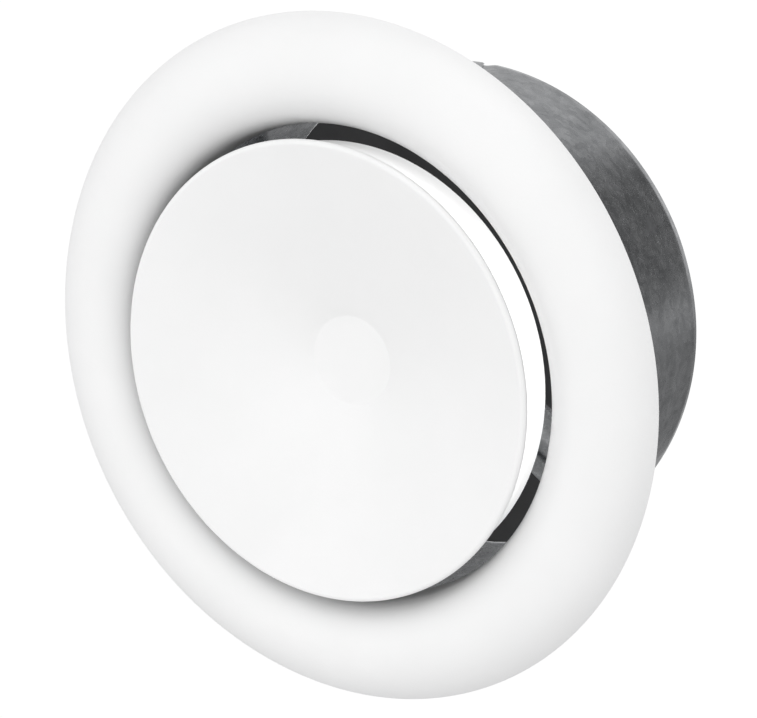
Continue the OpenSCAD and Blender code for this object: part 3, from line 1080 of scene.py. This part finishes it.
def studio_world():
    """Soft studio: pale all round, with a dim belt behind the ceiling plane that the collar mirrors."""
    world = bpy.data.worlds.new("studio")
    world.use_nodes = True
    bpy.context.scene.world = world
    n = Nodes(world.node_tree)
    way = n.add("TexCoord").outputs["Generated"]
    parts = n.add("SeparateXYZ", {"Vector": way})
    height = n.math("ARCSINE", parts.outputs["Z"])
    turn = n.math("ARCTAN2", parts.outputs["Y"], parts.outputs["X"])
    turn = n.fit(turn, -math.pi, math.pi, 0.0, 1.0)

    def at(degrees):
        return ((degrees + 180) % 360) / 360

    def grey(v):
        return (v, v, v * 1.01)

    def round_ramp(levels):
        """Greys by azimuth in degrees."""
        return n.ramp(turn, sorted((at(degrees), grey(v)) for degrees, v in levels))

    belt = round_ramp(
        [
            (-179.5, 0.2), (228, 0.2), (262, 0.7), (300, 0.8), (332, 0.8), (350, 0.52), (40, 0.5),
            (68, 0.46), (76, 0.28), (90, 0.12), (148, 0.14), (159, 0.4), (168, 0.3), (179.5, 0.2),
        ]
    )
    horizon = round_ramp(
        [
            (-179.5, 0.5), (196, 0.4), (234, 0.5), (280, 0.64), (324, 0.76), (0, 0.74), (54, 0.7),
            (100, 0.82), (144, 0.9), (165, 0.66), (179.5, 0.5),
        ]
    )
    rise = n.fit(height, -math.pi / 2, math.pi / 2, 0.0, 1.0)
    off, on = (0, 0, 0), (1, 1, 1)
    level = n.ramp(rise, [(0.0, off), (0.3, off), (0.4, on), (0.9, on), (0.97, off)])
    behind = n.ramp(rise, [(0.0, off), (0.58, off), (0.68, on), (0.9, on), (0.965, off)])
    ends = n.ramp(rise, [(0.0, grey(1.0)), (0.5, grey(1.0)), (0.9, grey(0.9)), (1.0, grey(1.0))])
    seen = n.mix(level, ends, horizon)
    seen = n.mix(behind, seen, belt)
    lit = n.add("Background", {"Color": seen, "Strength": 1.0})
    plain = n.add("Background", {"Color": (1.0, 1.0, 1.0, 1), "Strength": 1.02})
    ray = n.add("LightPath")
    both = n.add("MixShader", {0: ray.outputs["Is Camera Ray"], 1: lit.outputs[0], 2: plain.outputs[0]})
    out = n.add("OutputWorld")
    world.node_tree.links.new(both.outputs[0], out.inputs["Surface"])


def area_light(name, place, size, power):
    """A round lamp that points at the origin."""
    data = bpy.data.lights.new(name, "AREA")
    data.shape = "DISK"
    data.size = size
    data.energy = power
    lamp = bpy.data.objects.new(name, data)
    lamp.location = place
    lamp.rotation_mode = "QUATERNION"
    lamp.rotation_quaternion = (-place).to_track_quat("-Z", "Y")
    lamp.visible_camera = False
    bpy.context.scene.collection.objects.link(lamp)
    return lamp


FLOOR_DEPTH = 900
FLOOR_GLOW = 0.74


def studio_floor():
    """A pale sweep well below the valve, slightly mottled, that also sends soft light up at it."""
    rows = [(0, -FLOOR_DEPTH)]
    for r in (0.3, 0.6, 0.9, 1.15, 1.3):
        rows.append((r / MM, -FLOOR_DEPTH - 14 * rough(r * 3, 0, 0, 1.5, 1.0)))
    floor = make("floor", plate(rows))
    mat, n = material("pale_floor")
    where = n.place()
    tone = n.noise(where, 3.0, 4.0)
    base = n.mix(tone, (0.83, 0.83, 0.83, 1), (0.87, 0.87, 0.868, 1))
    dull = n.fit(n.noise(where, 14.0, 4.0), 0.3, 0.7, 0.75, 0.9)
    bumps = n.bump(n.noise(where, 220.0, 3.0), 0.0004, 0.3)
    n.surface(
        Base_Color=base, Roughness=dull, Normal=bumps, Emission_Color=base, Emission_Strength=FLOOR_GLOW
    )
    floor.data.materials.append(mat)


def only_for(lamp, *pieces):
    """The lamp lights these pieces and nothing else, and only they shade it."""
    lit = bpy.data.collections.new(lamp.name + "_lit")
    for piece in pieces:
        lit.objects.link(piece)
    lamp.light_linking.receiver_collection = lit
    lamp.light_linking.blocker_collection = lit


LID_R, LID_Z, LID_SAG = 78.1, 75.4, 1.5


def duct_shade_lid():
    """A dark lid across the collar's mouth: painted shade that stands for the dim duct the valve looks
    into.

    It is a lid whose upper side is clear, and a paler, glowing copy of it that only the metal's
    reflections see.
    """
    rows = [(LID_R * i / 12, LID_Z - LID_SAG * math.cos(TAU * i / 48)) for i in range(13)]
    dark = make("duct_shade_lid", plate(rows))
    if dark.data.polygons[0].normal.z > 0:
        dark.data.flip_normals()
    mat, n = material("duct_shade_lid")
    where = n.place()
    # painted shade: the lid's dark tone and faint glow stand for the shade inside the duct
    tone = n.mix(n.noise(where, 30.0, 3.0), (0.03, 0.03, 0.031, 1), (0.09, 0.09, 0.092, 1))
    dull = n.fit(n.noise(where, 40.0), 0.3, 0.7, 0.8, 0.95)
    shader = n.surface(Base_Color=tone, Roughness=dull, Emission_Color=tone, Emission_Strength=0.35)
    out = shader.outputs[0].links[0].to_node
    side = n.add("NewGeometry")
    clear = n.add("BsdfTransparent")
    both = n.add("MixShader", {0: side.outputs["Backfacing"], 1: shader.outputs[0], 2: clear.outputs[0]})
    n.tree.links.new(both.outputs[0], out.inputs["Surface"])
    dark.data.materials.append(mat)
    mirrored = dark.copy()
    mirrored.name = "duct_mirrored"
    mirrored.data = dark.data.copy()
    bpy.context.scene.collection.objects.link(mirrored)
    # a glowing copy that stands in for the duct in the metal's reflections
    glow, g = material("duct_mirrored")
    tone = g.mix(g.noise(g.place(), 25.0, 3.0), (0.13, 0.13, 0.13, 1), (0.34, 0.34, 0.345, 1))
    g.surface(Base_Color=tone, Roughness=0.9, Emission_Color=tone, Emission_Strength=0.9)
    mirrored.data.materials[0] = glow
    mirrored.visible_camera = False
    for lid in (dark, mirrored):
        lid.visible_diffuse = False
        lid.visible_shadow = False
    dark.visible_glossy = False


studio_world()
studio_floor()
back = -cam_look
area_light("key", back * 0.9 + cam_up * 0.9 - cam_right * 0.15, 0.8, 2.0)
for name, rise in (("band_high", 0.55), ("band_low", -0.75)):
    place = cam_right * 0.7 + back * 0.45 + cam_up * rise
    only_for(area_light(name, place, 0.5, 9.0), shell)
duct_shade_lid()
bpy.context.scene.view_settings.view_transform = "Standard"
bpy.context.scene.view_settings.look = "None"
